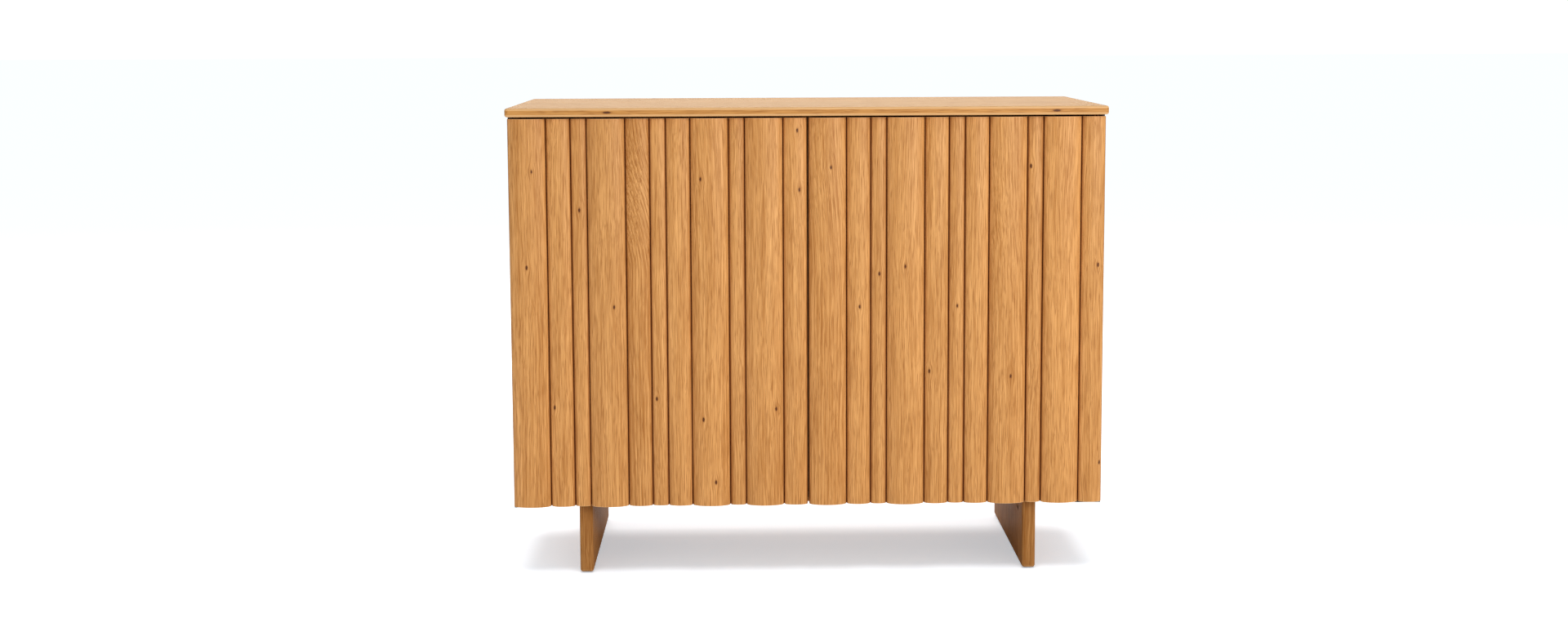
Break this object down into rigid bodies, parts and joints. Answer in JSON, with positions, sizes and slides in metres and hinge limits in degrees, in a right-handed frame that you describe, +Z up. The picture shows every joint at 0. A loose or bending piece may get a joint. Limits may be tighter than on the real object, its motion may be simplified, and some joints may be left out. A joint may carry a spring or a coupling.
{
  "type": "media cabinet",
  "caption": "Oak media cabinet on two panel legs, with two doors of half-round vertical slats over bays with a shelf each, and cable outlets in the back.",
  "frame": {"origin": "on the floor, under the middle of the top", "axes": "+X to the right seen from the front, +Y to the back, +Z up; the doors face -Y"},
  "size_m": [1.096, 0.46, 0.872],
  "materials": {
    "oak_slats": "matt oiled oak veneer, grain upright",
    "oak_boards": "matt oiled oak",
    "oak_inner_boards": "matt oak veneered board",
    "beech_dowels": "fluted beech, unfinished",
    "zinc_steel": "zinc plated",
    "black_steel": "black powder coat",
    "ground_steel": "ground and polished",
    "zinc_casting": "cast zinc, tumbled",
    "white_nylon": "moulded, satin",
    "grey_plastic": "moulded, fine texture",
    "black_plastic": "moulded, fine texture",
    "clear_rubber": "soft, slightly milky"
  },
  "bodies": {
    "root": {"top_panel": "oak_boards", "left_side_panel": "oak_boards", "right_side_panel": "oak_boards", "left_leg": "oak_boards", "right_leg": "oak_boards", "base_rail": "oak_boards", "bottom_panel": "oak_inner_boards", "centre_divider": "oak_inner_boards", "left_shelf": "oak_inner_boards", "right_shelf": "oak_inner_boards", "back_panel": "oak_inner_boards", "dowels": "beech_dowels", "top_pivot_plates": "black_steel", "bottom_pivot_plates": "black_steel", "plate_screws": "black_steel", "cam_bolts": "zinc_steel", "leg_bolts": "zinc_steel", "barrel_nuts": "zinc_steel", "shelf_pins": "zinc_steel", "latch_screws": "zinc_steel", "pivot_pins": "ground_steel", "cam_locks": "zinc_casting", "leg_glides": "white_nylon", "latch_housings": "grey_plastic", "cable_grommets": "black_plastic", "pivot_washers": "black_plastic", "door_bumpers": "clear_rubber"},
    "left_door": {"left_door_panel": "oak_inner_boards", "left_pivot_leaves": "black_steel", "left_leaf_screws": "black_steel", "left_strike_plate": "zinc_steel", "left_slat_01_wide": "oak_slats", "left_slat_02_medium": "oak_slats", "left_slat_03_narrow": "oak_slats", "left_slat_04_wide": "oak_slats", "left_slat_05_medium": "oak_slats", "left_slat_06_narrow": "oak_slats", "left_slat_07_medium": "oak_slats", "left_slat_08_wide": "oak_slats", "left_slat_09_narrow": "oak_slats", "left_slat_10_wide": "oak_slats", "left_slat_11_medium": "oak_slats"},
    "right_door": {"right_door_panel": "oak_inner_boards", "right_pivot_leaves": "black_steel", "right_leaf_screws": "black_steel", "right_strike_plate": "zinc_steel", "right_slat_01_wide": "oak_slats", "right_slat_02_medium": "oak_slats", "right_slat_03_narrow": "oak_slats", "right_slat_04_wide": "oak_slats", "right_slat_05_medium": "oak_slats", "right_slat_06_narrow": "oak_slats", "right_slat_07_medium": "oak_slats", "right_slat_08_wide": "oak_slats", "right_slat_09_narrow": "oak_slats", "right_slat_10_wide": "oak_slats", "right_slat_11_medium": "oak_slats"},
    "left_plunger": {"left_latch_plunger": "grey_plastic"},
    "right_plunger": {"right_latch_plunger": "grey_plastic"}
  },
  "joints": [
    {"name": "left_door_hinge", "type": "hinge", "parent": "root", "child": "left_door", "pos_m": [-0.5395, -0.2005, 0.49375], "axis": [0, 0, -1], "range_deg": [0, 100]},
    {"name": "right_door_hinge", "type": "hinge", "parent": "root", "child": "right_door", "pos_m": [0.5395, -0.2005, 0.49375], "axis": [0, 0, 1], "range_deg": [0, 100]},
    {"name": "left_latch_press", "type": "slide", "parent": "root", "child": "left_plunger", "axis": [0, 1, 0], "range_m": [0, 0.0015], "stiffness_N_per_m": 600},
    {"name": "right_latch_press", "type": "slide", "parent": "root", "child": "right_plunger", "axis": [0, 1, 0], "range_m": [0, 0.0015], "stiffness_N_per_m": 600}
  ]
}
